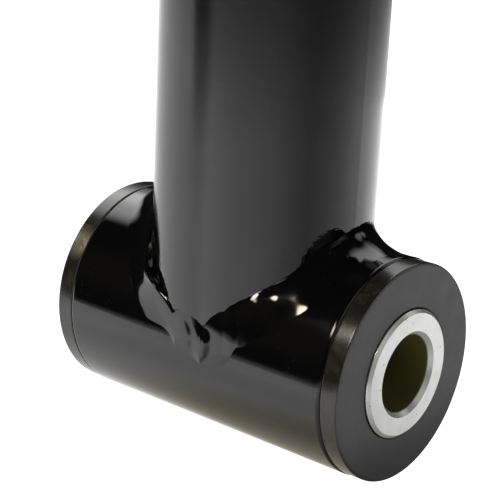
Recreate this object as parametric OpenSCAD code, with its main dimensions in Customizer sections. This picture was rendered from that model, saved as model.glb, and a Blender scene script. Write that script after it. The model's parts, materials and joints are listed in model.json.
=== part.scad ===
// Double-acting hydraulic cylinder with a bushed cross tube at each end.
// The origin is the centre of the base pin bore. +Z runs along the rod, +X along the
// pins, and the ports face +Y. The rod is fully retracted.

/* [Barrel] */
// Outside diameter of the barrel tube
barrel_od = 57.15; // [56.6:0.05:58]
// Honed bore of the barrel tube
barrel_bore = 44.45; // [44:0.05:45]
// Travel of the rod
stroke = 203.2; // [150:0.1:400]

/* [Rod] */
// Diameter of the chromed rod
rod_d = 28.575; // [27:0.025:29]
// Gap between the gland and the rod's cross tube when the rod is in
rod_stand_off = 15.95; // [12:0.05:60]

/* [Cross tubes] */
// Outside diameter of both cross tubes
cross_od = 56.5; // [55.5:0.1:56.5]
// Bore of both cross tubes, where the bushings press in
cross_bore = 44.45; // [43:0.05:45]
// Length of the steel cross tube between the bushing flanges
cross_len = 83; // [76:1:110]

/* [Bushings and sleeves] */
// Diameter of the bushing flange
flange_od = 56; // [54:0.1:56]
// Thickness of the bushing flange
flange_t = 5; // [4:0.1:7]
// Length of the bushing body inside the cross tube
bushing_body_len = 35; // [20:1:37]
// Outside diameter of the pivot sleeve
sleeve_od = 33; // [31:0.1:34]
// Bore of the pivot sleeve, which takes a 19.05 mm pin
sleeve_bore = 19.8; // [19.2:0.1:20.5]
// Distance that the sleeve stands out of each bushing
sleeve_stand_out = 1; // [0.5:0.1:2]

/* [Ports] */
// Outside diameter of the port bosses
port_boss_d = 22; // [20:0.5:24]
// Height of the port bosses above the barrel
port_boss_h = 5.5; // [4:0.5:9]
// Minor diameter of the port thread
port_thread_d = 9.9; // [9:0.1:11]
// Diameter of the oil hole below the port thread
port_oil_d = 6.4; // [4:0.2:8]

/* [Hidden] */
$fn = 96;

// Clearances, all radial
weld_gap = 0.1;      // between two parts that a weld joins
seat_gap = 0.02;     // between a part and the seat it is pressed or screwed into
running_gap = 0.06;  // between a seal, guide or sleeve and what slides or turns in it
metal_gap = 0.25;    // between the piston or gland and the bore or rod it never touches
stop_gap = 0.3;      // left at each end of the stroke
side_gap = 0.1;      // beside a ring in its groove

// Radii
barrel_r = barrel_od / 2;
bore_r = barrel_bore / 2;
rod_r = rod_d / 2;
cross_r = cross_od / 2;
sleeve_r = sleeve_od / 2;

// Base plug, with a recess that clears the end of the rod's thread
plug_z = 34;
plug_t = 16;
plug_recess_r = 11.5;
plug_recess_depth = 5;
plug_weld_leg = 3.8;
plug_top_z = plug_z + plug_t;

// Piston, nut and the turned-down end of the rod
nut_h = 16;
nut_flats = 28.6;
stub_r = 9.5;
stub_past_nut = 3;
piston_len = 38;
piston_r = bore_r - metal_gap;
nut_z = plug_top_z + stop_gap;
piston_z = nut_z + nut_h;
piston_top_z = piston_z + piston_len;

// Ring grooves in the piston: height above the piston's lower face, and width
wear_groove_w = 6.4;
wear_groove_depth = 2.3;
wear_lower_z = piston_z + 4;
wear_upper_z = piston_top_z - 4 - wear_groove_w;
seal_groove_w = 7;
seal_groove_depth = 5.6;
seal_groove_z = piston_z + (piston_len - seal_groove_w) / 2;
seal_cap_t = 2.4;
inner_groove_w = 3.4;
inner_groove_depth = 1.9;

// Gland: a slim nose beside the head port, a threaded body, and a flange on the barrel's end
gland_nose_z = piston_top_z + stroke + stop_gap;
gland_nose_len = 14.4;
gland_nose_r = 19.5;
gland_body_len = 30;
gland_flange_t = 10;
gland_flange_r = barrel_r - 0.4;
gland_body_z = gland_nose_z + gland_nose_len;
barrel_top_z = gland_body_z + gland_body_len;
gland_top_z = barrel_top_z + gland_flange_t;
gland_bore_r = rod_r + metal_gap;
hook_slots = 6;
hook_slot_w = 6;
hook_slot_depth = 2.8;

// Grooves in the gland, by height above its nose
guide_groove_z = gland_nose_z + 3;
guide_groove_w = 9.6;
guide_groove_depth = 2.4;
o_ring_groove_z = gland_body_z + 1.4;
o_ring_groove_w = 5.6;
o_ring_groove_depth = 2.9;
backup_ring_t = 1.3;
rod_seal_z = gland_body_z + 10;
rod_seal_h = 8;
rod_seal_depth = 4.8;
wiper_z = gland_top_z - 7;
wiper_depth = 4.6;

// Rod end
rod_pin_z = gland_top_z + rod_stand_off + cross_r;

// Ports
base_port_z = plug_top_z + 8;
head_port_z = gland_nose_z + 7.4;
port_spigot_r = port_boss_d / 2 - 2;
port_face_y = barrel_r + port_boss_h;
port_thread_depth = 9.2;
port_seat_r = port_thread_d / 2 + 1.3;
port_seat_depth = 1.6;
port_weld_leg = 3;

// Fillet welds of the cross tubes: leg up the bar, leg along the cross tube, crown, and
// the shorter leg at the two lowest points of the saddle
base_weld = [6, 8.5, 1.2, 3.5];
rod_weld = [5, 6, 0.8, 6];
weld_rings = 72;
weld_profile = [0, 0.25, 0.5, 0.75, 1];
weld_root_depth = 0.8;
cope_floor = 3;  // lowest height that the coped tube reaches

// Small edge breaks
edge = 0.6;
bushing_edge = 0.5;
sleeve_edge = 0.8;
sleeve_bore_edge = 1.2;

paint = [0.02, 0.02, 0.022];
bare_steel = [0.55, 0.56, 0.58];
chrome_plate = [0.8, 0.81, 0.83];
zinc_plate = [0.75, 0.75, 0.72];
black_polymer = [0.12, 0.12, 0.13];
nitrile = [0.05, 0.05, 0.05];
urethane = [0.10, 0.22, 0.45];
bronze_ptfe = [0.36, 0.26, 0.16];
glass_nylon = [0.08, 0.09, 0.09];
cast_iron = [0.28, 0.28, 0.29];

// A ring from z0 to z1 with square edges
module ring(r_in, r_out, z0, z1) {
    rotate_extrude() polygon([[r_in, z0], [r_out, z0], [r_out, z1], [r_in, z1]]);
}

// A ring of round section
module o_ring(r_mid, r_section, z) {
    rotate_extrude() translate([r_mid, z]) circle(r = r_section, $fn = 32);
}

// Turns a part made along +Z to lie along +X, which is the way the pins run
module along_x() {
    rotate([0, 90, 0]) children();
}

// A tube whose lower end is coped over a cross tube on the X axis
module coped_tube(r_out, r_in, top_z) {
    difference() {
        translate([0, 0, cope_floor]) cylinder(r = r_out, h = top_z - cope_floor);
        translate([0, 0, -1]) cylinder(r = r_in, h = top_z + 2);
        along_x() cylinder(r = cross_r + weld_gap, h = 3 * barrel_od, center = true);
    }
}

// Height of the corner between a round bar and the cross tube, at angle a round the bar
function corner_z(r_bar, a) =
    sqrt(max(pow(cross_r, 2) - pow(r_bar * sin(a), 2), pow(cope_floor, 2)));

// Angle round the cross tube, from +Z towards +Y, of that corner
function corner_turn(r_bar, a) = asin(max(-1, min(1, r_bar * sin(a) / cross_r)));

// Points of one section of a fillet weld, at angle a round the bar: along its face from
// the toe on the bar to the toe on the cross tube, then the root inside the corner
function weld_section(r_bar, legs, a) =
    let (
        turn = corner_turn(r_bar, a),
        along = legs[1] + (legs[3] - legs[1]) * pow(sin(a), 12),
        toe_turn = turn + along * sin(a) / cross_r * 180 / PI,
        toe_bar = [r_bar * cos(a), r_bar * sin(a), corner_z(r_bar, a) + legs[0]],
        toe_cross = [
            (r_bar + along) * cos(a), cross_r * sin(toe_turn), cross_r * cos(toe_turn)
        ],
        corner = [r_bar * cos(a), r_bar * sin(a), corner_z(r_bar, a)],
        out = [cos(a), sin(a) + sin(turn), cos(turn)],
        away = out / norm(out)
    ) concat(
        [for (t = weld_profile)
            pow(1 - t, 2) * toe_bar + 2 * t * (1 - t) * corner + t * t * toe_cross
                + away * legs[2] * 4 * t * (1 - t)],
        [corner - away * weld_root_depth]
    );

// The weld all round a bar that stands on the cross tube
module fillet_weld(r_bar, legs) {
    per_ring = len(weld_profile) + 1;
    points = [for (k = [0 : weld_rings - 1])
        each weld_section(r_bar, legs, 360 * k / weld_rings)];
    faces = [for (k = [0 : weld_rings - 1], j = [0 : per_ring - 1])
        let (
            k2 = (k + 1) % weld_rings, j2 = (j + 1) % per_ring,
            a = k * per_ring + j, b = k2 * per_ring + j,
            c = k2 * per_ring + j2, d = k * per_ring + j2
        ) each [[a, c, b], [a, d, c]]];
    polyhedron(points, faces, convexity = 6);
}

// Steel cross tube, centred on the origin
module cross_tube() {
    half = cross_len / 2;
    bore = cross_bore / 2;
    along_x() rotate_extrude() polygon([
        [bore, -half + edge], [bore + edge, -half], [cross_r - edge, -half],
        [cross_r, -half + edge], [cross_r, half - edge], [cross_r - edge, half],
        [bore + edge, half], [bore, half - edge]
    ]);
}

// Flanged bushing: its flange sits against the cross tube's end on the side of +X
module bushing() {
    body = cross_bore / 2 - seat_gap;
    inner = sleeve_r + running_gap;
    flange = flange_od / 2;
    face = cross_len / 2 + flange_t;
    inside = cross_len / 2 - bushing_body_len;
    along_x() rotate_extrude() polygon([
        [inner, inside], [body - 1, inside], [body, inside + 1],
        [body, cross_len / 2], [flange - bushing_edge / 2, cross_len / 2],
        [flange, cross_len / 2 + bushing_edge / 2], [flange, face - bushing_edge],
        [flange - bushing_edge, face], [inner + bushing_edge, face],
        [inner, face - bushing_edge]
    ]);
}

// Pivot sleeve, which runs through both bushings
module sleeve() {
    half = cross_len / 2 + flange_t + sleeve_stand_out;
    bore = sleeve_bore / 2;
    along_x() rotate_extrude() polygon([
        [bore, -half + sleeve_bore_edge], [bore + sleeve_bore_edge, -half],
        [sleeve_r - sleeve_edge, -half], [sleeve_r, -half + sleeve_edge],
        [sleeve_r, half - sleeve_edge], [sleeve_r - sleeve_edge, half],
        [bore + sleeve_bore_edge, half], [bore, half - sleeve_bore_edge]
    ]);
}

// Turns a part made along +Z to lie along +Y at height z, which is the way the ports face
module port_axis(z) {
    translate([0, 0, z]) rotate([-90, 0, 0]) children();
}

// Weld-in port boss with a threaded hole, a sealing cone and an oil hole
module port_boss(z) {
    thread_floor = port_face_y - port_thread_depth;
    difference() {
        intersection() {
            port_axis(z) rotate_extrude() polygon([
                [0, 0], [port_spigot_r, 0], [port_spigot_r, barrel_r + 0.6],
                [port_boss_d / 2, barrel_r + 0.6], [port_boss_d / 2, port_face_y - edge],
                [port_boss_d / 2 - edge, port_face_y], [0, port_face_y]
            ]);
            translate([0, 0, z - barrel_r]) difference() {
                cylinder(r = 2 * barrel_r, h = 2 * barrel_r);
                translate([0, 0, -1]) cylinder(r = bore_r, h = 2 * barrel_r + 2);
            }
        }
        port_axis(z) cylinder(r = port_oil_d / 2, h = port_face_y + 1);
        port_axis(z) translate([0, 0, thread_floor])
            cylinder(r = port_thread_d / 2, h = port_thread_depth + 1);
        port_axis(z) translate([0, 0, port_face_y - port_seat_depth])
            cylinder(r1 = port_thread_d / 2, r2 = port_seat_r, h = port_seat_depth);
    }
}

// Fillet weld round a port boss, on the barrel's outside
module port_weld(z) {
    inner = port_boss_d / 2 + seat_gap;
    base_y = barrel_r - 3;
    difference() {
        port_axis(z) rotate_extrude() polygon([
            [inner, base_y], [inner + port_weld_leg, base_y],
            [inner + port_weld_leg, barrel_r - 1.2], [inner + 1.2, barrel_r + 1.4],
            [inner, barrel_r + port_weld_leg]
        ]);
        translate([0, 0, z - barrel_r])
            cylinder(r = barrel_r + seat_gap, h = 2 * barrel_r);
    }
}

module barrel_tube() {
    color(paint) difference() {
        coped_tube(barrel_r, bore_r, barrel_top_z - seat_gap);
        for (z = [base_port_z, head_port_z])
            port_axis(z) cylinder(r = port_spigot_r + seat_gap, h = barrel_od);
        for (z = [base_port_z, head_port_z])
            port_axis(z) translate([0, 0, barrel_r + 0.5 - weld_gap])
                cylinder(r = port_boss_d / 2 + seat_gap, h = barrel_od);
    }
}

module base_plug() {
    r = bore_r - seat_gap;
    color(bare_steel) rotate_extrude() polygon([
        [0, plug_z], [r - 1, plug_z], [r, plug_z + 1], [r, plug_top_z - 1],
        [r - 1, plug_top_z], [plug_recess_r, plug_top_z],
        [plug_recess_r, plug_top_z - plug_recess_depth],
        [0, plug_top_z - plug_recess_depth]
    ]);
}

module base_plug_weld() {
    r = bore_r - seat_gap;
    z = plug_z - seat_gap;
    color(bare_steel) rotate_extrude() polygon([
        [r, z], [r, z - plug_weld_leg], [r - 1.2, z - 1.6], [r - plug_weld_leg, z]
    ]);
}

module base_cross_tube() {
    color(paint) cross_tube();
}

module base_cross_tube_weld() {
    color(paint) fillet_weld(barrel_r, base_weld);
}

module base_bushing_right() {
    color(black_polymer) bushing();
}

module base_bushing_left() {
    color(black_polymer) mirror([1, 0, 0]) bushing();
}

module base_sleeve() {
    color(zinc_plate) sleeve();
}

module base_port_boss() {
    color(paint) port_boss(base_port_z);
}

module base_port_weld() {
    color(paint) port_weld(base_port_z);
}

module head_port_boss() {
    color(paint) port_boss(head_port_z);
}

module head_port_weld() {
    color(paint) port_weld(head_port_z);
}

module gland() {
    body = bore_r - seat_gap;
    o_groove = body - o_ring_groove_depth;
    guide = rod_r + guide_groove_depth;
    seal = rod_r + rod_seal_depth;
    wiper = rod_r + wiper_depth;
    color(paint) difference() {
        rotate_extrude() polygon([
            [gland_bore_r, gland_nose_z], [gland_nose_r - 1, gland_nose_z],
            [gland_nose_r, gland_nose_z + 1], [gland_nose_r, gland_body_z - 1],
            [body - 1, gland_body_z], [body, gland_body_z + 1],
            [body, o_ring_groove_z], [o_groove, o_ring_groove_z],
            [o_groove, o_ring_groove_z + o_ring_groove_w],
            [body, o_ring_groove_z + o_ring_groove_w], [body, barrel_top_z],
            [gland_flange_r, barrel_top_z], [gland_flange_r, gland_top_z - 1.5],
            [gland_flange_r - 1.5, gland_top_z], [wiper, gland_top_z],
            [wiper, wiper_z], [gland_bore_r, wiper_z],
            [gland_bore_r, rod_seal_z + rod_seal_h], [seal, rod_seal_z + rod_seal_h],
            [seal, rod_seal_z], [gland_bore_r, rod_seal_z],
            [gland_bore_r, guide_groove_z + guide_groove_w],
            [guide, guide_groove_z + guide_groove_w], [guide, guide_groove_z],
            [gland_bore_r, guide_groove_z]
        ]);
        for (k = [0 : hook_slots - 1]) rotate(30 + 360 / hook_slots * k)
            translate([gland_flange_r - hook_slot_depth, -hook_slot_w / 2, barrel_top_z])
                cube([10, hook_slot_w, gland_flange_t + 1]);
    }
}

module gland_o_ring() {
    section = o_ring_groove_depth / 2 - 1.5 * seat_gap;
    color(nitrile) o_ring(bore_r - section - 2 * seat_gap, section,
        o_ring_groove_z + section + side_gap);
}

module gland_backup_ring() {
    top = o_ring_groove_z + o_ring_groove_w - side_gap;
    color(glass_nylon) ring(bore_r - o_ring_groove_depth + side_gap, bore_r - seat_gap,
        top - backup_ring_t, top);
}

module rod_guide_ring() {
    color(glass_nylon) ring(rod_r + running_gap, rod_r + guide_groove_depth - seat_gap,
        guide_groove_z + side_gap, guide_groove_z + guide_groove_w - side_gap);
}

// U-cup: two lips that open towards the oil
module rod_seal() {
    inner = rod_r + running_gap;
    outer = rod_r + rod_seal_depth - seat_gap;
    mid = (inner + outer) / 2;
    z0 = rod_seal_z + side_gap;
    z1 = rod_seal_z + rod_seal_h - side_gap;
    color(urethane) rotate_extrude() polygon([
        [inner, z0], [inner + 1, z0], [mid, z0 + 3.4], [outer - 1, z0], [outer, z0],
        [outer, z1 - 0.6], [outer - 0.6, z1], [inner + 0.6, z1], [inner, z1 - 0.6]
    ]);
}

// Snap-in wiper, with its scraping lip at the top
module rod_wiper() {
    inner = rod_r + running_gap;
    outer = rod_r + wiper_depth - seat_gap;
    color(urethane) rotate_extrude() polygon([
        [inner + 1.2, wiper_z + side_gap], [outer, wiper_z + side_gap],
        [outer, gland_top_z - 0.4], [outer - 0.8, gland_top_z + 0.3],
        [inner + 2.1, gland_top_z + 0.3], [inner + 1.1, gland_top_z + 1.4],
        [inner, gland_top_z + 1.6], [inner, gland_top_z + 1.1],
        [inner + 1.2, gland_top_z - 2]
    ]);
}

module wear_ring(z) {
    color(glass_nylon) ring(piston_r - wear_groove_depth + running_gap,
        bore_r - running_gap, z + side_gap, z + wear_groove_w - side_gap);
}

module piston_wear_ring_lower() {
    wear_ring(wear_lower_z);
}

module piston_wear_ring_upper() {
    wear_ring(wear_upper_z);
}

module piston_seal() {
    color(bronze_ptfe) ring(bore_r - running_gap - seal_cap_t, bore_r - running_gap,
        seal_groove_z + side_gap, seal_groove_z + seal_groove_w - side_gap);
}

module piston_seal_energiser() {
    floor_r = piston_r - seal_groove_depth + running_gap;
    top_r = bore_r - running_gap - seal_cap_t - seat_gap;
    section = (top_r - floor_r) / 2;
    color(nitrile) o_ring(floor_r + section, section, seal_groove_z + seal_groove_w / 2);
}

module piston() {
    inner = stub_r + seat_gap;
    inner_groove = inner + inner_groove_depth;
    inner_groove_z = piston_z + (piston_len - inner_groove_w) / 2;
    wear = piston_r - wear_groove_depth;
    seal = piston_r - seal_groove_depth;
    color(cast_iron) rotate_extrude() polygon([
        [inner, piston_z], [piston_r - 1, piston_z], [piston_r, piston_z + 1],
        [piston_r, wear_lower_z], [wear, wear_lower_z],
        [wear, wear_lower_z + wear_groove_w], [piston_r, wear_lower_z + wear_groove_w],
        [piston_r, seal_groove_z], [seal, seal_groove_z],
        [seal, seal_groove_z + seal_groove_w], [piston_r, seal_groove_z + seal_groove_w],
        [piston_r, wear_upper_z], [wear, wear_upper_z],
        [wear, wear_upper_z + wear_groove_w], [piston_r, wear_upper_z + wear_groove_w],
        [piston_r, piston_top_z - 1], [piston_r - 1, piston_top_z],
        [inner, piston_top_z], [inner, inner_groove_z + inner_groove_w],
        [inner_groove, inner_groove_z + inner_groove_w], [inner_groove, inner_groove_z],
        [inner, inner_groove_z]
    ]);
}

module piston_inner_o_ring() {
    section = inner_groove_depth / 2 - seat_gap;
    color(nitrile) o_ring(stub_r + 2 * seat_gap + section, section,
        piston_z + piston_len / 2);
}

module piston_nut() {
    color(bare_steel) translate([0, 0, nut_z]) difference() {
        intersection() {
            cylinder(r = nut_flats / sqrt(3), h = nut_h - seat_gap, $fn = 6);
            rotate_extrude() polygon([
                [0, 0], [nut_flats / 2, 0], [nut_flats / 2 + 2.4, 1.4],
                [nut_flats / 2 + 2.4, nut_h], [0, nut_h]
            ]);
        }
        translate([0, 0, -1]) cylinder(r = stub_r + seat_gap, h = nut_h + 2);
    }
}

// Chromed rod, turned down for the piston, with its top coped to the cross tube
module rod() {
    stub_z = nut_z - stub_past_nut;
    color(chrome_plate) difference() {
        rotate_extrude() polygon([
            [0, stub_z], [stub_r - 1, stub_z], [stub_r, stub_z + 1],
            [stub_r, piston_top_z + seat_gap], [rod_r - 1.5, piston_top_z + seat_gap],
            [rod_r, piston_top_z + 2.5], [rod_r, rod_pin_z], [0, rod_pin_z]
        ]);
        translate([0, 0, rod_pin_z]) along_x()
            cylinder(r = cross_r + weld_gap, h = 2 * cross_len, center = true);
    }
}

module rod_cross_tube() {
    color(paint) translate([0, 0, rod_pin_z]) cross_tube();
}

module rod_cross_tube_weld() {
    color(paint) translate([0, 0, rod_pin_z]) rotate([180, 0, 0])
        fillet_weld(rod_r, rod_weld);
}

module rod_bushing_right() {
    color(black_polymer) translate([0, 0, rod_pin_z]) bushing();
}

module rod_bushing_left() {
    color(black_polymer) translate([0, 0, rod_pin_z]) mirror([1, 0, 0]) bushing();
}

module rod_sleeve() {
    color(zinc_plate) translate([0, 0, rod_pin_z]) sleeve();
}

barrel_tube();
base_plug();
base_plug_weld();
base_cross_tube();
base_cross_tube_weld();
base_bushing_left();
base_bushing_right();
base_port_boss();
base_port_weld();
head_port_boss();
head_port_weld();
gland();
gland_o_ring();
gland_backup_ring();
rod_guide_ring();
rod_seal();
rod_wiper();
piston_wear_ring_lower();
piston_wear_ring_upper();
piston_seal();
piston_seal_energiser();
piston();
piston_inner_o_ring();
piston_nut();
rod();
rod_cross_tube();
rod_cross_tube_weld();
rod_bushing_left();
rod_bushing_right();
base_sleeve();
rod_sleeve();
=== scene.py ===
"""Looks of a welded hydraulic cylinder with a bushed cross tube at each end.

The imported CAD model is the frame. This script gives every piece its material, builds the
weld beads and the threaded ports in detail, and sets the camera, the floor and the light.
Lengths are in metres, in the CAD model's frame: +X along the pins, +Y the way the ports
face, +Z along the rod, and the origin at the centre of the base pin bore.
"""

import json
import math

import bmesh
import bpy
from mathutils import Matrix, Vector, noise


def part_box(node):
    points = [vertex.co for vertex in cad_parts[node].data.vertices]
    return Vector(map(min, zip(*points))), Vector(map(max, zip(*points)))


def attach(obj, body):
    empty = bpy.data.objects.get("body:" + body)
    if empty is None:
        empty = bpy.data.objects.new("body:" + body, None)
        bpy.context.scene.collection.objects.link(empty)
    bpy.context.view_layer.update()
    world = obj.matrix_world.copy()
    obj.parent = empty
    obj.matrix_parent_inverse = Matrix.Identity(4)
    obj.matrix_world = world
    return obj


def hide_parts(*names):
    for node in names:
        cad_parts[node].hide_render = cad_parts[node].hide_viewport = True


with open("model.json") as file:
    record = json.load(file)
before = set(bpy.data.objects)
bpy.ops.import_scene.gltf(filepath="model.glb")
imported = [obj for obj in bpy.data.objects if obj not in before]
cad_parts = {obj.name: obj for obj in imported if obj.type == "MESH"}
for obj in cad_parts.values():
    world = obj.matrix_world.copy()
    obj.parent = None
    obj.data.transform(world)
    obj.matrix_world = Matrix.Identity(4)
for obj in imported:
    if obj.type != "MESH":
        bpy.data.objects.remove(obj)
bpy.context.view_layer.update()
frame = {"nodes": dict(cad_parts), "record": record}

MM = 0.001


# ---------------------------------------------------------------- sizes from the frame

def half_size(node, axis):
    """Half a node's size along an axis, 0 to 2."""
    low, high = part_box(node)
    return (high[axis] - low[axis]) / 2


def reach(node, z=0.0):
    """The smallest and greatest distance of a node's points from the X line at height z."""
    spans = [math.hypot(v.co.y, v.co.z - z) for v in frame["nodes"][node].data.vertices]
    return min(spans), max(spans)


RECORD = frame["record"]
MOUNTS = {m["name"]: m for m in RECORD["mounts"]}
BODY_OF = {node: body for body, nodes in RECORD["behaviour"]["bodies"].items() for node in nodes}
PIN_R = MOUNTS["base_pin_bore"]["dims"]["r_mm"] * MM
THREAD_R = MOUNTS["base_port"]["dims"]["r_mm"] * MM
THREAD_LENGTH = MOUNTS["base_port"]["dims"]["length_mm"] * MM
ROD_PIN_Z = MOUNTS["rod_pin_bore"]["pos_m"][2]
BARREL_R = half_size("barrel_tube", 0)
BARREL_BORE_R = half_size("piston_seal", 0)
ROD_R = half_size("rod", 0)
BOSS_R = half_size("base_port_boss", 0)
PORT_FACE_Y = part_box("base_port_boss")[1].y
CROSS_BORE_R, CROSS_R = reach("base_cross_tube")
CROSS_HALF = half_size("base_cross_tube", 0)
BUSHING_BORE_R, FLANGE_R = reach("base_bushing_right")
BUSHING_INNER_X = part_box("base_bushing_right")[0].x
FLANGE_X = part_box("base_bushing_right")[1].x
SLEEVE_R = half_size("base_sleeve", 2)
SLEEVE_HALF = half_size("base_sleeve", 0)


# ---------------------------------------------------------------- materials

class Nodes:
    """A node tree and short ways to build in it."""

    def __init__(self, tree, output):
        self.nodes = tree.nodes
        self.links = tree.links
        self.coords = self.add("ShaderNodeTexCoord").outputs[output]

    def add(self, kind, **settings):
        node = self.nodes.new(kind)
        for key, value in settings.items():
            setattr(node, key, value)
        return node

    def feed(self, value, socket):
        """Joins an output to a socket, or sets the socket to a plain value."""
        if isinstance(value, bpy.types.NodeSocket):
            self.links.new(value, socket)
        else:
            socket.default_value = value
        return socket

    def math(self, operation, a, b=0.0):
        node = self.add("ShaderNodeMath", operation=operation)
        self.feed(a, node.inputs[0])
        self.feed(b, node.inputs[1])
        return node.outputs[0]

    def noise(self, size, detail=2.0, rough=0.5, stretch=None):
        """Noise whose features are about size metres across, scaled by axis if stretched."""
        source = self.coords
        if stretch:
            mapping = self.add("ShaderNodeMapping")
            self.feed(source, mapping.inputs["Vector"])
            mapping.inputs["Scale"].default_value = stretch
            source = mapping.outputs["Vector"]
        node = self.add("ShaderNodeTexNoise")
        self.feed(source, node.inputs["Vector"])
        node.inputs["Scale"].default_value = 1 / size
        node.inputs["Detail"].default_value = detail
        node.inputs["Roughness"].default_value = rough
        return node.outputs["Fac"]

    def line_noise(self, value, size, detail=2.0):
        """Noise along one value, for turned or brushed lines about size metres apart."""
        node = self.add("ShaderNodeTexNoise", noise_dimensions="1D")
        self.feed(value, node.inputs["W"])
        node.inputs["Scale"].default_value = 1 / size
        node.inputs["Detail"].default_value = detail
        return node.outputs["Fac"]

    def ramp(self, value, low, high, out_low=0.0, out_high=1.0, smooth=True):
        """Maps low..high to out_low..out_high, clamped."""
        node = self.add("ShaderNodeMapRange")
        node.interpolation_type = "SMOOTHSTEP" if smooth else "LINEAR"
        self.feed(value, node.inputs["Value"])
        for socket, number in zip(("From Min", "From Max", "To Min", "To Max"),
                                  (low, high, out_low, out_high)):
            node.inputs[socket].default_value = number
        return node.outputs["Result"]

    def mix(self, factor, color_a, color_b):
        node = self.add("ShaderNodeMix", data_type="RGBA")
        self.feed(factor, node.inputs["Factor"])
        for socket, color in ((node.inputs[6], color_a), (node.inputs[7], color_b)):
            self.feed(color if isinstance(color, bpy.types.NodeSocket) else (*color, 1), socket)
        return node.outputs[2]

    def axis(self, index):
        node = self.add("ShaderNodeSeparateXYZ")
        self.links.new(self.coords, node.inputs[0])
        return node.outputs[index]

    def radius(self, axis, at=(0, 0, 0)):
        """Distance from the line through a point along an axis, 0 to 2."""
        keep = [0.0 if i == axis else 1.0 for i in range(3)]
        shift = self.add("ShaderNodeVectorMath", operation="SUBTRACT")
        self.links.new(self.coords, shift.inputs[0])
        shift.inputs[1].default_value = at
        flat = self.add("ShaderNodeVectorMath", operation="MULTIPLY")
        self.links.new(shift.outputs[0], flat.inputs[0])
        flat.inputs[1].default_value = keep
        length = self.add("ShaderNodeVectorMath", operation="LENGTH")
        self.links.new(flat.outputs[0], length.inputs[0])
        return length.outputs["Value"]

    def distance(self, at):
        """Distance from a point."""
        node = self.add("ShaderNodeVectorMath", operation="DISTANCE")
        self.links.new(self.coords, node.inputs[0])
        node.inputs[1].default_value = at
        return node.outputs["Value"]

    def dot(self, way):
        """The coordinates' length along a way."""
        node = self.add("ShaderNodeVectorMath", operation="DOT_PRODUCT")
        self.links.new(self.coords, node.inputs[0])
        node.inputs[1].default_value = way
        return node.outputs["Value"]

    def curve(self, value, low, high, stops):
        """A smooth curve through (value, level) stops, with levels from 0 to 1."""
        node = self.add("ShaderNodeValToRGB")
        ramp = node.color_ramp
        ramp.interpolation = "B_SPLINE"
        while len(ramp.elements) < len(stops):
            ramp.elements.new(0.5)
        for element, (at, level) in zip(ramp.elements, stops):
            element.position = (at - low) / (high - low)
            element.color = (level, level, level, 1)
        self.feed(self.ramp(value, low, high, smooth=False), node.inputs["Fac"])
        return node.outputs["Color"]


class Look(Nodes):
    """A node material on a Principled shader."""

    def __init__(self, name, color, roughness, metallic=0.0):
        self.material = bpy.data.materials.new(name)
        self.material.use_nodes = True
        super().__init__(self.material.node_tree, "Object")
        self.shader = self.nodes["Principled BSDF"]
        self.set("Base Color", (*color, 1))
        self.set("Roughness", roughness)
        self.set("Metallic", metallic)

    def set(self, socket, value):
        self.shader.inputs[socket].default_value = value

    def drive(self, socket, output):
        self.links.new(output, self.shader.inputs[socket])

    def facing(self, axis):
        """How squarely the surface faces along an axis of its own, 0 to 1."""
        split = self.add("ShaderNodeSeparateXYZ")
        self.links.new(self.nodes["Texture Coordinate"].outputs["Normal"], split.inputs[0])
        return self.math("ABSOLUTE", split.outputs[axis])

    def bump(self, *layers):
        """Stacks bumps: each layer is (height 0..1, depth in metres)."""
        normal = None
        for height, depth in layers:
            node = self.add("ShaderNodeBump")
            node.inputs["Strength"].default_value = 1.0
            node.inputs["Distance"].default_value = depth
            self.links.new(height, node.inputs["Height"])
            if normal:
                self.links.new(normal, node.inputs["Normal"])
            normal = node.outputs["Normal"]
        self.links.new(normal, self.shader.inputs["Normal"])


BLACK = (0.0025, 0.0025, 0.0027)
GLOSSY_TO = 9 * MM
SATIN_FROM = 16 * MM


def above_saddle(look):
    """Height above the cross tube's surface, measured up the barrel."""
    across = look.axis(1)
    square = look.math("SUBTRACT", CROSS_R ** 2, look.math("MULTIPLY", across, across))
    saddle = look.math("SQRT", look.math("MAXIMUM", square, 0))
    return look.math("SUBTRACT", look.axis(2), saddle)


def black_paint(name, low, high, by_weld=False):
    """Black powder coat between two roughnesses: orange peel, dust specks, slight waves.
    By the base weld it can be glossier, over fine spatter."""
    look = Look(name, BLACK, low)
    look.set("IOR", 1.5)
    haze = look.ramp(look.noise(14 * MM, 3), 0.3, 0.75, low, high)
    bumps = [(look.noise(9 * MM, 2), 0.02 * MM), (look.noise(1.6 * MM, 2), 0.0022 * MM)]
    if by_weld:
        near = look.ramp(above_saddle(look), GLOSSY_TO, SATIN_FROM, 1, 0)
        haze = look.math("MULTIPLY", haze, look.ramp(near, 0, 1, 1, 0.35))
        bumps.append((look.math("MULTIPLY", look.noise(1.3 * MM, 2), near), 0.04 * MM))
    look.drive("Roughness", haze)
    specks = look.ramp(look.noise(0.5 * MM, 1), 0.72, 0.8)
    look.drive("Base Color", look.mix(specks, BLACK, (0.02, 0.02, 0.019)))
    look.bump(*bumps)
    return look.material


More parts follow.
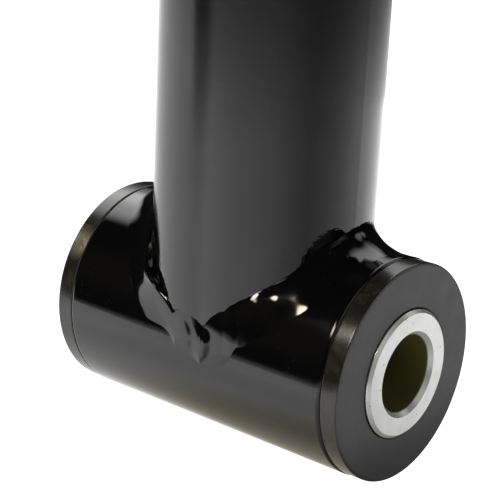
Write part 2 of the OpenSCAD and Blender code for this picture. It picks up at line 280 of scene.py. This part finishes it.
def bushing_polymer(name, at, painted_highlight_at=None):
    """Dark grey moulded polymer: a dull turned face with painted shade that darkens it low down,
    and a glossier rim with stains that are partly a painted reflection, and a painted pale
    highlight round one spot if it is given."""
    look = Look(name, (0.06, 0.06, 0.065), 0.5)
    cloud = look.ramp(look.noise(6 * MM, 4, 0.6), 0.3, 0.75)
    light = look.mix(cloud, (0.105, 0.105, 0.112), (0.13, 0.13, 0.137))
    # Painted shade: the face's colour fades to nearly black towards the bottom.
    low = look.ramp(look.math("SUBTRACT", look.axis(2), at[2]), -26 * MM, -4 * MM, 1, 0)
    face = look.mix(low, light, (0.003, 0.003, 0.004))
    # Stains on the rim, partly a painted reflection: olive-brown mottling over near-black.
    stain_and_reflection = look.ramp(look.noise(4 * MM, 4, 0.65), 0.45, 0.7)
    rim = look.mix(stain_and_reflection, (0.012, 0.012, 0.011), (0.034, 0.031, 0.021))
    # Painted highlight: a pale beige patch round one spot on the rim, mottled by the rim's
    # marks.
    if painted_highlight_at:
        near = look.ramp(look.distance(painted_highlight_at), 1 * MM, 6 * MM, 1, 0)
        rim = look.mix(look.math("MULTIPLY", near, look.ramp(stain_and_reflection, 0, 1, 0.5, 1)),
                       rim, (0.3, 0.27, 0.19))
    on_face = look.ramp(look.facing(0), 0.55, 0.8)
    look.drive("Base Color", look.mix(on_face, rim, face))
    look.drive("Roughness", look.ramp(on_face, 0, 1, 0.2, 0.55))
    rings = look.line_noise(look.radius(0, at), 0.25 * MM)
    look.bump((rings, 0.004 * MM), (look.noise(0.35 * MM, 2), 0.012 * MM))
    return look.material


def zinc_plate(name, at):
    """Zinc-plated turned steel: pale, satin, with turned rings and a bore coloured as painted
    shade: dark olive and not metallic.
    """
    look = Look(name, (0.85, 0.86, 0.83), 0.3, 0.6)
    radius = look.radius(0, at)
    rings = look.line_noise(radius, 0.16 * MM, 3)
    cloud = look.ramp(look.noise(5 * MM, 3), 0.35, 0.7)
    pale = look.mix(cloud, (0.88, 0.89, 0.86), (0.80, 0.81, 0.785))
    pits = look.ramp(look.noise(0.8 * MM, 1), 0.735, 0.775)
    worn = look.mix(pits, pale, (0.12, 0.10, 0.08))
    # Painted shade: inside the bore the colour turns dark olive and the metal turns off.
    bore_shade = look.ramp(radius, PIN_R + 0.05 * MM, PIN_R + 0.3 * MM, 1, 0)
    on_face = look.ramp(look.facing(0), 0.5, 0.65)
    look.drive("Base Color", look.mix(bore_shade, worn, (0.16, 0.145, 0.05)))
    bare = look.ramp(on_face, 0, 1, 1.0, 0.6)
    look.drive("Metallic", look.math("MULTIPLY", bare, look.ramp(bore_shade, 0, 1, 1, 0)))
    look.drive("Roughness", look.math("ADD", look.ramp(on_face, 0, 1, 0, 0.16),
                                       look.ramp(rings, 0.3, 0.7, 0.12, 0.26)))
    look.bump((rings, 0.006 * MM), (look.noise(1.2 * MM, 2), 0.003 * MM))
    return look.material


def hard_chrome():
    """Ground and polished chrome with faint rings and draw marks."""
    look = Look("hard_chrome", (0.42, 0.425, 0.435), 0.06, 1.0)
    marks = look.noise(0.8 * MM, 3, stretch=(1, 1, 0.04))
    rings = look.line_noise(look.axis(2), 0.3 * MM)
    look.drive("Roughness", look.ramp(marks, 0.3, 0.8, 0.04, 0.12))
    look.bump((rings, 0.0012 * MM), (marks, 0.001 * MM))
    return look.material


def turned_steel(name, color, roughness, metallic=1.0):
    """Bare turned metal with rings about Z and an oily cloudiness."""
    look = Look(name, color, roughness, metallic)
    cloud = look.ramp(look.noise(8 * MM, 3), 0.3, 0.7)
    dark = tuple(0.7 * c for c in color)
    look.drive("Base Color", look.mix(cloud, color, dark))
    look.drive("Roughness", look.ramp(cloud, 0, 1, roughness, roughness + 0.15))
    rings = look.line_noise(look.math("ADD", look.radius(2), look.axis(2)), 0.2 * MM)
    look.bump((rings, 0.006 * MM), (look.noise(0.6 * MM, 2), 0.006 * MM))
    return look.material


def moulded(name, color, roughness, grain=0.5 * MM, depth=0.006 * MM, translucent=0.0):
    """Rubber or plastic seal stock: fine grain and slight colour changes."""
    look = Look(name, color, roughness)
    look.set("Subsurface Weight", translucent)
    look.set("Subsurface Radius", (0.001, 0.001, 0.001))
    cloud = look.ramp(look.noise(5 * MM, 3), 0.3, 0.7)
    look.drive("Base Color", look.mix(cloud, color, tuple(0.75 * c for c in color)))
    look.drive("Roughness", look.ramp(cloud, 0, 1, roughness, min(1, roughness + 0.12)))
    look.bump((look.noise(grain, 3), depth))
    return look.material


PAINT = black_paint("gloss_black_paint", 0.035, 0.1)
BARREL_PAINT = black_paint("satin_black_paint", 0.13, 0.18, by_weld=True)
STEEL = turned_steel("oiled_steel", (0.42, 0.42, 0.43), 0.3)
IRON = turned_steel("turned_ductile_iron", (0.2, 0.2, 0.205), 0.42)
NITRILE = moulded("nitrile_rubber", (0.02, 0.02, 0.021), 0.5)
URETHANE = moulded("blue_urethane", (0.05, 0.13, 0.34), 0.28, translucent=0.15)
NYLON = moulded("glass_filled_nylon", (0.045, 0.05, 0.05), 0.5, 0.25 * MM, 0.015 * MM)
PTFE = moulded("bronze_filled_ptfe", (0.24, 0.145, 0.075), 0.38)
CHROME = hard_chrome()

# A painted pale highlight on the left flange's rim, at the front above the middle
RIM_HIGHLIGHT_AT = (-FLANGE_X + 2.5 * MM, -0.8 * FLANGE_R, 0.6 * FLANGE_R)

CAD_LOOKS = {
    "barrel_tube": BARREL_PAINT,
    "base_plug": STEEL,
    "base_plug_weld": STEEL,
    "base_cross_tube": PAINT,
    "base_bushing_left": bushing_polymer("base_left_polymer", (0, 0, 0), RIM_HIGHLIGHT_AT),
    "base_bushing_right": bushing_polymer("base_right_polymer", (0, 0, 0)),
    "base_port_boss": PAINT,
    "head_port_boss": PAINT,
    "gland": PAINT,
    "gland_o_ring": NITRILE,
    "gland_backup_ring": NYLON,
    "rod_guide_ring": NYLON,
    "rod_seal": URETHANE,
    "rod_wiper": URETHANE,
    "piston_wear_ring_lower": NYLON,
    "piston_wear_ring_upper": NYLON,
    "piston_seal": PTFE,
    "piston_seal_energiser": NITRILE,
    "piston": IRON,
    "piston_inner_o_ring": NITRILE,
    "piston_nut": STEEL,
    "rod": CHROME,
    "rod_cross_tube": PAINT,
    "rod_bushing_left": bushing_polymer("rod_left_polymer", (0, 0, ROD_PIN_Z)),
    "rod_bushing_right": bushing_polymer("rod_right_polymer", (0, 0, ROD_PIN_Z)),
    "base_sleeve": zinc_plate("base_sleeve_zinc", (0, 0, 0)),
    "rod_sleeve": zinc_plate("rod_sleeve_zinc", (0, 0, ROD_PIN_Z)),
    "base_cross_tube_weld": PAINT,
    "rod_cross_tube_weld": PAINT,
    "base_port_weld": PAINT,
    "head_port_weld": PAINT,
}


def dress(piece, material):
    """Gives a piece one material in every slot."""
    if not piece.material_slots:
        piece.data.materials.append(material)
    for slot in piece.material_slots:
        slot.material = material


for node, material in CAD_LOOKS.items():
    dress(frame["nodes"][node], material)


# ---------------------------------------------------------------- turned pieces

def skin(node, rings):
    """A smooth piece in place of a CAD node, through closed rings of points that also
    close on each other."""
    made = bmesh.new()
    grid = [[made.verts.new(point) for point in ring] for ring in rings]
    for here, after in zip(grid, grid[1:] + grid[:1]):
        for k in range(len(here)):
            made.faces.new((here[k - 1], here[k], after[k], after[k - 1]))
    bmesh.ops.recalc_face_normals(made, faces=made.faces)
    for face in made.faces:
        face.smooth = True
    mesh = bpy.data.meshes.new(node + "_detail")
    made.to_mesh(mesh)
    made.free()
    piece = bpy.data.objects.new(node + "_detail", mesh)
    bpy.context.scene.collection.objects.link(piece)
    dress(piece, CAD_LOOKS[node])
    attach(piece, BODY_OF[node])
    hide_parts(node)
    return piece


ARC_STEPS = 5
ARC_MARGIN = 0.12 * MM
TURN_STEPS = 160


def rounded(corners):
    """A closed outline from corners (along, radius, rounding), each turned into an arc
    with one more point just outside each end, which keeps the flats flat."""
    outline = []
    for k, (along, radius, rounding) in enumerate(corners):
        here = Vector((along, radius))
        way_in = (Vector(corners[k - 1][:2]) - here).normalized()
        way_out = (Vector(corners[(k + 1) % len(corners)][:2]) - here).normalized()
        half = way_in.angle(way_out) / 2
        start = here + way_in * rounding / math.tan(half)
        end = here + way_out * rounding / math.tan(half)
        middle = here + (way_in + way_out).normalized() * rounding / math.sin(half)
        outline.append(start + way_in * ARC_MARGIN)
        for j in range(ARC_STEPS + 1):
            spoke = (start - middle).lerp(end - middle, j / ARC_STEPS).normalized()
            outline.append(middle + spoke * rounding)
        outline.append(end + way_out * ARC_MARGIN)
    return outline


def turned(node, corners, z=0.0, side=1):
    """A piece turned about the X line at height z; side -1 mirrors it in X."""
    outline = rounded(corners)
    rings = []
    for k in range(TURN_STEPS):
        angle = 2 * math.pi * k / TURN_STEPS
        rings.append([(side * p.x, p.y * math.cos(angle), z + p.y * math.sin(angle))
                      for p in outline])
    return skin(node, rings)


# Sections of the turned pieces, as corners (along, radius, rounding)

def cross_tube_outline():
    half = CROSS_HALF
    return [(-half, CROSS_BORE_R, 0.5 * MM), (half, CROSS_BORE_R, 0.5 * MM),
            (half, CROSS_R, 1.1 * MM), (-half, CROSS_R, 1.1 * MM)]


def bushing_outline():
    body_r = CROSS_BORE_R - 0.02 * MM
    return [(BUSHING_INNER_X, BUSHING_BORE_R, 0.3 * MM), (FLANGE_X, BUSHING_BORE_R, 0.7 * MM),
            (FLANGE_X, FLANGE_R, 0.7 * MM), (CROSS_HALF, FLANGE_R, 0.3 * MM),
            (CROSS_HALF, body_r, 0.15 * MM), (BUSHING_INNER_X, body_r, 0.8 * MM)]


def sleeve_outline():
    half, chamfer, break_edge = SLEEVE_HALF, 1.2 * MM, 0.8 * MM
    right = [(half - chamfer, PIN_R, 0.4 * MM), (half, PIN_R + chamfer, 0.15 * MM),
             (half, SLEEVE_R - break_edge, 0.2 * MM), (half - break_edge, SLEEVE_R, 0.2 * MM)]
    return right + [(-along, radius, rounding) for along, radius, rounding in reversed(right)]


for end, z in (("base", 0.0), ("rod", ROD_PIN_Z)):
    turned(end + "_cross_tube", cross_tube_outline(), z)
    turned(end + "_bushing_right", bushing_outline(), z)
    turned(end + "_bushing_left", bushing_outline(), z, side=-1)
    turned(end + "_sleeve", sleeve_outline(), z)


# ---------------------------------------------------------------- weld beads

BEAD_PITCH = 5.6 * MM
BEAD_BULGE = 4.2 * MM
BEAD_ROWS = 30
BEAD_LUMP = 0.22 * MM
BEAD_SINK = 0.05 * MM
BEAD_ROOTS = (1 * MM, 1.5 * MM)
COIN_DROP = 0.24
SHELF_RISE = 0.12
COPE_FLOOR = 3 * MM


def hump(angle, at, width):
    """A smooth hump of height 1 at one angle round the bar, all in degrees."""
    off = (angle - at + 180) % 360 - 180
    return math.exp(-(off / width) ** 2)


def ripple(turn):
    """One coin of a stacked bead: it rises slowly over one turn and drops at its end."""
    part = turn % 1
    drop = min(1, (1 - part) / COIN_DROP)
    return part * (2 - part) * drop * drop * (3 - 2 * drop)


def shelf(t):
    """The profile of a bead that steps out at the bar's toe and falls evenly to the drum."""
    rise = min(1, t / SHELF_RISE)
    return rise * rise * (3 - 2 * rise) * (1 - t)


class Bead:
    """A fillet weld between a bar along +Z and a drum along the X line. The legs climb (up
    the bar) and spread (out on the drum), the crown, the coins' height and the step at the
    bar's toe are functions of the angle round the bar, 0 at +X and -90 at the front. The
    coins are a pitch apart, and phase shifts them round the bar by a part of a pitch."""

    def __init__(self, bar_r, drum_r, climb, spread, crown, coin, step, seed,
                 pitch=BEAD_PITCH, phase=0):
        self.bar_r = bar_r
        self.drum_r = drum_r
        self.climb = climb
        self.spread = spread
        self.crown = crown
        self.coin = coin
        self.step = step
        self.seed = seed
        self.pitch = pitch
        self.phase = phase

    def frame_at(self, degrees, scallop):
        """Bar toe, corner, drum toe and the outward way of one section."""
        angle = math.radians(degrees)
        cos, sin = math.cos(angle), math.sin(angle)
        turn = math.asin(max(-1, min(1, self.bar_r * sin / self.drum_r)))
        height = math.sqrt(max(self.drum_r ** 2 - (self.bar_r * sin) ** 2, COPE_FLOOR ** 2))
        up = self.climb(degrees) + scallop
        out = self.spread(degrees) + scallop
        toe_turn = turn + out * sin / self.drum_r
        corner = Vector((self.bar_r * cos, self.bar_r * sin, height))
        bar_toe = corner + Vector((0, 0, up))
        drum_toe = Vector(((self.bar_r + out) * cos, self.drum_r * math.sin(toe_turn),
                           self.drum_r * math.cos(toe_turn)))
        away = Vector((cos, sin + math.sin(turn), math.cos(turn))).normalized()
        return bar_toe, corner, drum_toe, away

    def rings(self, steps):
        """Closed sections all round the bar, from the bar's toe over the face to the
        drum's toe, then two points inside the corner."""
        middles = []
        for k in range(steps):
            bar_toe, corner, drum_toe, _ = self.frame_at(360 * k / steps, 0)
            middles.append((bar_toe + 2 * corner + drum_toe) / 4)
        travel = [0.0]
        for here, after in zip(middles, middles[1:] + middles[:1]):
            travel.append(travel[-1] + (after - here).length)
        coins = round(travel[-1] / self.pitch)
        rings = []
        for k in range(steps):
            degrees = 360 * k / steps
            spot = middles[k]
            wander = 0.3 * noise.noise(spot / (7 * MM) + Vector((self.seed, 0, 0)))
            turn = coins * travel[k] / travel[-1] + wander - self.phase
            scallop = self.coin(degrees) * (abs(math.sin(math.pi * turn)) ** 0.6 - 0.5)
            rings.append(self.section(degrees, turn, scallop, spot))
        return rings

    def section(self, degrees, turn, scallop, spot):
        """One closed section, with the coins at a turn and its toes moved by a scallop."""
        bar_toe, corner, drum_toe, away = self.frame_at(degrees, scallop)
        size = 0.75 + 0.5 * noise.noise(spot / (5 * MM) + Vector((0, self.seed, 0)))
        points = []
        for row in range(BEAD_ROWS + 1):
            t = row / BEAD_ROWS
            point = (1 - t) ** 2 * bar_toe + 2 * t * (1 - t) * corner + t * t * drum_toe
            across = 4 * t * (1 - t)
            swell = across * across
            coin = ripple(turn - BEAD_BULGE / self.pitch * across)
            lump = noise.noise(point / (5.5 * MM) + Vector((0, 0, self.seed)))
            height = (self.crown(degrees) * swell
                      + self.coin(degrees) * size * coin * across ** 0.8
                      + self.step(degrees) * shelf(t)
                      + BEAD_LUMP * lump * across - BEAD_SINK * (1 - across))
            points.append(point + away * height)
        return points + [corner - away * root for root in BEAD_ROOTS]


def lay(node, bead, place, steps):
    """Builds a bead in place of a CAD weld; place takes it from its own frame."""
    skin(node, [[place @ point for point in ring] for ring in bead.rings(steps)])


def even(size):
    """A bead size that is the same at every angle."""
    return lambda degrees: size


# The base bead's sizes: a wide smooth fillet at the right, coins at the front and a smooth
# lobe at the left, by the angle round the barrel

def base_climb(degrees):
    low_right = 4.6 * MM * hump(degrees, -38, 30)
    low_left = 5.4 * MM * hump(degrees, -126, 13)
    return 6.2 * MM - low_right - low_left + 1.8 * MM * hump(degrees, -94, 10)


def base_spread(degrees):
    front = 9.4 * MM * hump(degrees, -95, 18) + 2.3 * MM * hump(degrees, -83, 6.5)
    return (9.8 * MM - front - 2.2 * MM * hump(degrees, -132, 24)
            + 1.8 * MM * hump(degrees, -117, 9) - 6 * MM * hump(degrees, 90, 18)
            + 3.4 * MM * hump(degrees, -52, 24))


def base_crown(degrees):
    return 0.5 * MM + 0.72 * MM * hump(degrees, -45, 28) - 0.4 * MM * hump(degrees, -104, 22)


def base_coin(degrees):
    return 0.02 * MM + 0.8 * MM * hump(degrees, -76, 10) + 0.2 * MM * hump(degrees, 20, 45)


def base_step(degrees):
    return 0.3 * MM * hump(degrees, -25, 28) + 2.9 * MM * hump(degrees, -123, 15)


ROD_END_DOWN = Matrix.Translation((0, 0, ROD_PIN_Z)) @ Matrix.Rotation(math.pi, 4, "X")
lay("base_cross_tube_weld",
    Bead(BARREL_R, CROSS_R, base_climb, base_spread, base_crown, base_coin, base_step, 3.1,
         pitch=7.4 * MM, phase=0.1),
    Matrix.Identity(4), 900)
lay("rod_cross_tube_weld",
    Bead(ROD_R, CROSS_R, even(5 * MM), even(6 * MM), even(0.8 * MM), even(0.38 * MM),
         even(0.1 * MM), 7.7),
    ROD_END_DOWN, 480)


# ---------------------------------------------------------------- threaded ports

THREAD_PITCH = 1.27 * MM
THREAD_DEPTH = 0.6 * MM
OIL_HOLE_R = 3.2 * MM
SEAT_R = THREAD_R + 1.3 * MM
SEAT_DEPTH = 1.6 * MM
BOSS_ROUNDING = 0.8 * MM
BORE_STEPS_PER_TURN = 8


def port_place(z):
    """Takes +X to the barrel's axis, +Y across it and +Z to the way the port faces."""
    return Matrix(((0, 1, 0, 0), (0, 0, 1, 0), (1, 0, 0, z), (0, 0, 0, 1)))


def thread_radius(depth, turn):
    """Radius of the right-hand inner thread at a depth, turn round the port."""
    part = (depth / THREAD_PITCH + turn) % 1
    tooth = min(1, max(0, 1.6 - 3.2 * abs(part - 0.5)))
    fade = min(1, depth / (0.8 * THREAD_PITCH))
    return THREAD_R + THREAD_DEPTH * tooth * fade


def bore_floor(radius, angle):
    """Height of the barrel's bore surface above its axis, under a point of the port."""
    return math.sqrt(BARREL_BORE_R ** 2 - (radius * math.sin(angle)) ** 2)


def port_boss(node, z):
    """A boss with a spot face, a sealing cone, a real helical thread and an oil hole."""
    face, spigot_r = PORT_FACE_Y, BOSS_R - 2 * MM
    thread_top = face - SEAT_DEPTH
    shoulder = BARREL_R + 0.6 * MM
    rings = []
    for k in range(TURN_STEPS):
        turn = k / TURN_STEPS
        angle = 2 * math.pi * turn
        outline = [(OIL_HOLE_R, bore_floor(OIL_HOLE_R, angle)),
                   (spigot_r, bore_floor(spigot_r, angle)),
                   (spigot_r, shoulder), (BOSS_R, shoulder)]
        for j in range(ARC_STEPS + 1):
            bend = math.pi / 2 * j / ARC_STEPS
            outline.append((BOSS_R - BOSS_ROUNDING * (1 - math.cos(bend)),
                            face - BOSS_ROUNDING * (1 - math.sin(bend))))
        outline += [(BOSS_R - MM, face), (SEAT_R + 0.2 * MM, face),
                    (SEAT_R, face - 0.08 * MM), (THREAD_R + 0.05 * MM, thread_top)]
        samples = int(THREAD_LENGTH / THREAD_PITCH * BORE_STEPS_PER_TURN)
        for j in range(samples + 1):
            depth = THREAD_LENGTH * j / samples
            outline.append((thread_radius(depth, turn), thread_top - depth))
        outline += [(OIL_HOLE_R + 0.1 * MM, thread_top - THREAD_LENGTH - 0.3 * MM)]
        rings.append([port_place(z) @ Vector((r * math.cos(angle), r * math.sin(angle), h))
                      for r, h in outline])
    skin(node, rings)


for end in ("base", "head"):
    port_z = MOUNTS[end + "_port"]["pos_m"][2]
    port_boss(end + "_port_boss", port_z)
    lay(end + "_port_weld",
        Bead(BOSS_R, BARREL_R, even(3.2 * MM), even(3.4 * MM), even(0.4 * MM),
             even(0.28 * MM), even(0), 5.3 + port_z),
        port_place(port_z), 360)


# ---------------------------------------------------------------- camera, floor and light

CAMERA_AZIMUTH = math.radians(38.8)
CAMERA_HEIGHT = math.radians(18.8)
CAMERA_ROLL = math.radians(2.8)
CAMERA_DISTANCE = 0.426
CAMERA_ASIDE = -2.3 * MM
CAMERA_UP = 19.2 * MM
LENS = 116.8
SENSOR_WIDTH = 36
FLOOR_Z = -0.107
FLOOR_R = 0.45
FLOOR_MIDDLE = (0.12, 0.14, 0)
SHADOW_MIDDLE = (0.2, 0.24, 0)
UNDER_SHADOW_MIDDLE = (0.1, 0.08, 0)
SEEN_WHITE = 1.5
FULL_LEVEL = 2.2
NIGHT = (0.012, 0.012, 0.013)


def make_camera():
    """A camera at the photograph's angle, aimed from the base pin's centre."""
    back = Vector((math.sin(CAMERA_AZIMUTH) * math.cos(CAMERA_HEIGHT),
                   -math.cos(CAMERA_AZIMUTH) * math.cos(CAMERA_HEIGHT),
                   math.sin(CAMERA_HEIGHT)))
    right = Vector((0, 0, 1)).cross(back).normalized()
    up = back.cross(right)
    turn = Matrix.Rotation(CAMERA_ROLL, 3, back)
    right, up = turn @ right, turn @ up
    place = back * CAMERA_DISTANCE + right * CAMERA_ASIDE + up * CAMERA_UP
    data = bpy.data.cameras.new("camera")
    data.lens = LENS
    data.sensor_width = SENSOR_WIDTH
    data.clip_start = 0.01
    camera = bpy.data.objects.new("camera", data)
    bpy.context.scene.collection.objects.link(camera)
    camera.matrix_world = Matrix((
        (right.x, up.x, back.x, place.x),
        (right.y, up.y, back.y, place.y),
        (right.z, up.z, back.z, place.z),
        (0, 0, 0, 1),
    ))
    bpy.context.scene.camera = camera


def studio_way(turn, height):
    """A unit vector at degrees to the right of the camera's side, and above level."""
    turn, height = CAMERA_AZIMUTH + math.radians(turn), math.radians(height)
    return Vector((math.sin(turn) * math.cos(height), -math.cos(turn) * math.cos(height),
                   math.sin(height)))


class Studio(Nodes):
    """The white sweep round the object, as reflections see it: a level that changes with
    the direction, and plain white where the camera looks straight at it."""

    def __init__(self, tree, output, shader, result):
        tree.nodes.clear()
        super().__init__(tree, output)
        self.turn = self.math("ARCTAN2", self.dot(studio_way(90, 0)), self.dot(studio_way(0, 0)))
        stops = [(math.radians(turn), level / FULL_LEVEL) for turn, level in SWEEP]
        self.sweep = self.curve(self.turn, -math.pi, math.pi, stops)
        self.shader = shader
        self.result = result

    def finish(self, color):
        """Shows color to reflections and white to the camera."""
        seen, lit = self.add(self.shader), self.add(self.shader)
        seen.inputs["Strength"].default_value = SEEN_WHITE
        self.feed(color, lit.inputs["Color"])
        pick = self.add("ShaderNodeMixShader")
        path = self.add("ShaderNodeLightPath")
        self.links.new(path.outputs["Is Camera Ray"], pick.inputs[0])
        self.links.new(lit.outputs[0], pick.inputs[1])
        self.links.new(seen.outputs[0], pick.inputs[2])
        self.links.new(pick.outputs[0], self.add(self.result).inputs["Surface"])

    def scaled(self, color, level):
        """A colour times a level; each is a plain value or an output."""
        node = self.add("ShaderNodeVectorMath", operation="SCALE")
        self.feed(color, node.inputs[0])
        self.feed(level, node.inputs["Scale"])
        return node.outputs[0]

    def plus(self, a, b):
        node = self.add("ShaderNodeVectorMath", operation="ADD")
        self.feed(a, node.inputs[0])
        self.feed(b, node.inputs[1])
        return node.outputs[0]


# How bright the white sweep is, by the turn in degrees to the right of the camera's side
SWEEP = ((-180, 2.0), (-120, 2.1), (-60, 2.3), (-34, 1.5), (0, 1.36), (34, 0.5), (52, 0.66),
         (80, 1.1), (112, 2.1), (180, 2.0))

# Soft lights: turn, height, full to this many degrees, none from there, level, colour
GLOWS = (
    (174, 45, 10, 29, 1.8, (1, 1, 1)),
    (-153, 46, 7, 24, 3.4, (1, 1, 1)),
    (-38.8, 42, 4, 7, 26, (1, 0.9, 0.78)),
    (-70.5, 40, 4.6, 7.2, 24, (1, 0.9, 0.78)),
    (-75, 22, 4, 24, 0.04, (0.9, 0.85, 0.6)),
    (40, 35, 8, 36, 0.5, (1, 1, 1)),
    (118, 37, 6, 15, 1.2, (1, 1, 1)),
)


def make_world():
    """A dark studio above the sweep, with its soft lights. The sweep is full below an edge,
    and faint or blurred just above it."""
    world = bpy.data.worlds.new("studio")
    world.use_nodes = True
    look = Studio(world.node_tree, "Generated", "ShaderNodeBackground", "ShaderNodeOutputWorld")
    height = look.axis(2)
    beside = look.ramp(look.turn, math.radians(-73), math.radians(-62))
    left_edge = look.ramp(look.turn, math.radians(-90), math.radians(-78), -0.15, -0.25)
    edge = look.math("ADD", left_edge, look.ramp(beside, 0, 1, 0, 0.024))
    above = look.math("SUBTRACT", height, edge)
    full = look.math("MULTIPLY", look.ramp(above, -0.008, 0.008, 1, 0),
                     look.ramp(beside, 0, 1, 0.8, 1))
    faint = look.math("MULTIPLY", beside, look.ramp(height, -0.25, -0.1, 0.6, 0))
    blur = look.ramp(height, -0.27, -0.16, 0.45, 0)
    dim = look.math("MAXIMUM", faint, blur)
    level = look.math("MULTIPLY", look.math("MAXIMUM", full, dim), FULL_LEVEL)
    color = look.plus(look.scaled(look.sweep, level), NIGHT)
    for turn, up, inner, outer, strength, tint in GLOWS:
        spot = look.ramp(look.dot(studio_way(turn, up)), math.cos(math.radians(outer)),
                         math.cos(math.radians(inner)), 0, strength)
        color = look.plus(color, look.scaled(tint, spot))
    look.finish(color)
    bpy.context.scene.world = world


def make_floor():
    """The pale floor, with painted shadow: dimmer and warmer under the object and in its soft
    shadow.
    """
    mesh = bpy.data.meshes.new("floor")
    made = bmesh.new()
    bmesh.ops.create_circle(made, cap_ends=True, segments=96, radius=FLOOR_R)
    bmesh.ops.translate(made, verts=made.verts, vec=FLOOR_MIDDLE)
    made.to_mesh(mesh)
    made.free()
    floor = bpy.data.objects.new("floor", mesh)
    bpy.context.scene.collection.objects.link(floor)
    floor.location.z = FLOOR_Z
    material = bpy.data.materials.new("white_floor")
    material.use_nodes = True
    look = Studio(material.node_tree, "Object", "ShaderNodeEmission",
                  "ShaderNodeOutputMaterial")
    out = look.radius(2)
    # Painted shadow: dimmer and warm-tinted close under the object, and in a soft shadow to one
    # side.
    near = look.ramp(out, 0.05, 0.14, 0.32, 0.6)
    level = look.math("MULTIPLY", near, look.ramp(out, 0.12, 0.4, 1, 1.6))
    shadow = look.ramp(look.radius(2, SHADOW_MIDDLE), 0.16, 0.27, 0.85, 1)
    under_shadow = look.ramp(look.radius(2, UNDER_SHADOW_MIDDLE), 0.04, 0.13, 0.4, 1)
    level = look.math("MULTIPLY", look.math("MULTIPLY", level, shadow), FULL_LEVEL)
    level = look.math("MULTIPLY", level, under_shadow)
    tint = look.mix(look.ramp(out, 0.06, 0.13), (1, 0.92, 0.74), (1, 1, 1))
    tinted = look.add("ShaderNodeVectorMath", operation="MULTIPLY")
    look.feed(tint, tinted.inputs[0])
    look.feed(look.sweep, tinted.inputs[1])
    look.finish(look.scaled(tinted.outputs[0], level))
    mesh.materials.append(material)


make_camera()
make_floor()
make_world()
bpy.context.scene.view_settings.view_transform = "Standard"
